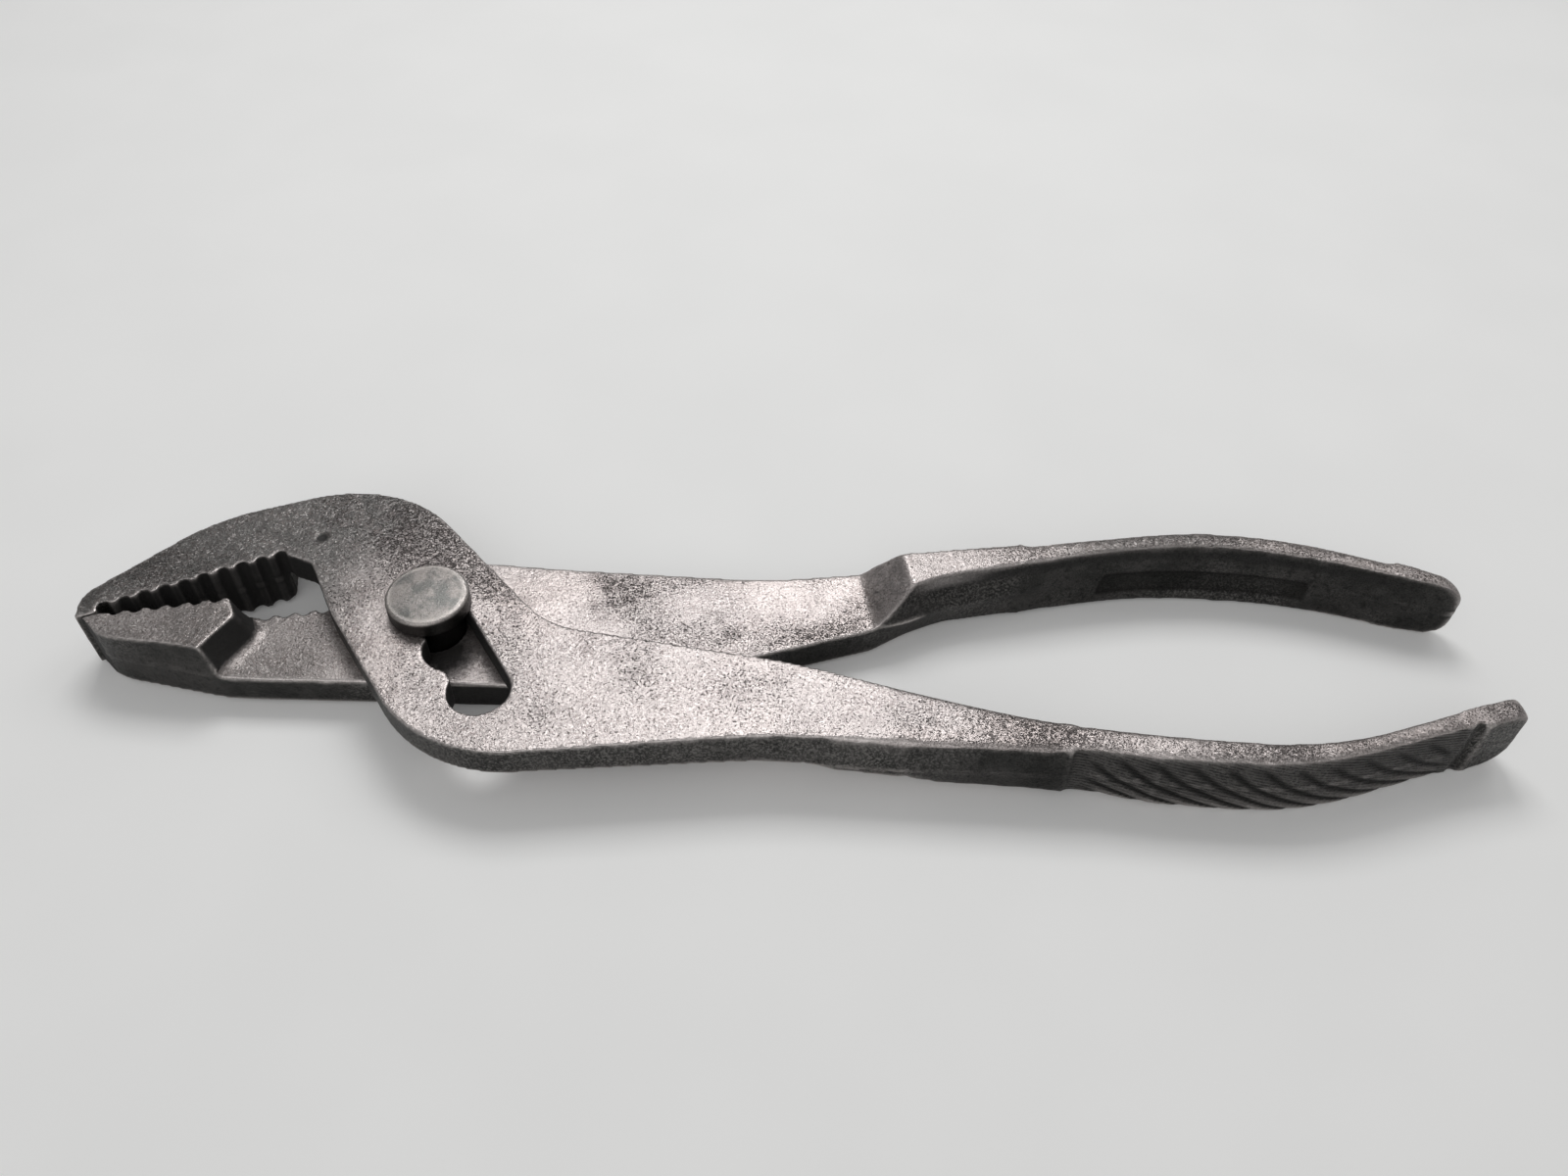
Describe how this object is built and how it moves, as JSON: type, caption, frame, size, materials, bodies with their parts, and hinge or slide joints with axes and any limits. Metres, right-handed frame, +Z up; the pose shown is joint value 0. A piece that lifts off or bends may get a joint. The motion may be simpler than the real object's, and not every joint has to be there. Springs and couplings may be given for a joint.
{
  "type": "adjustable slip-joint pliers",
  "caption": "Forged slip-joint pliers with hooked, offset jaws; a button-headed pivot bolt moves along a scalloped slot to widen the jaws.",
  "frame": {"origin": "on the pivot bolt's axis, in the plane that the pliers lie on, which is the nut's outer face", "axes": "+X from the pivot towards the handles, +Y from the lower half's jaw towards the slotted half's jaw, +Z up, along the pivot axis to the bolt's head"},
  "size_m": [0.2291, 0.0547, 0.0153],
  "materials": {
    "forged_steel": "old drop-forged steel, bare, pitted dark, worn bright on its edges",
    "turned_steel": "turned steel, satin, fine scratches, rim worn bright"
  },
  "bodies": {
    "slotted_half": {"slotted_half": "forged_steel"},
    "pivot": {"pivot_bolt": "turned_steel", "pivot_nut": "turned_steel"},
    "lower_half": {"lower_half": "forged_steel"}
  },
  "joints": [
    {"name": "setting_slide", "type": "slide", "parent": "slotted_half", "child": "pivot", "axis": [0.5505, -0.8348, 0], "range_m": [0, 0.0198]},
    {"name": "handle_hinge", "type": "hinge", "parent": "pivot", "child": "lower_half", "pos_m": [0, 0, 0], "axis": [0, 0, 1], "range_deg": [0, 60]}
  ]
}
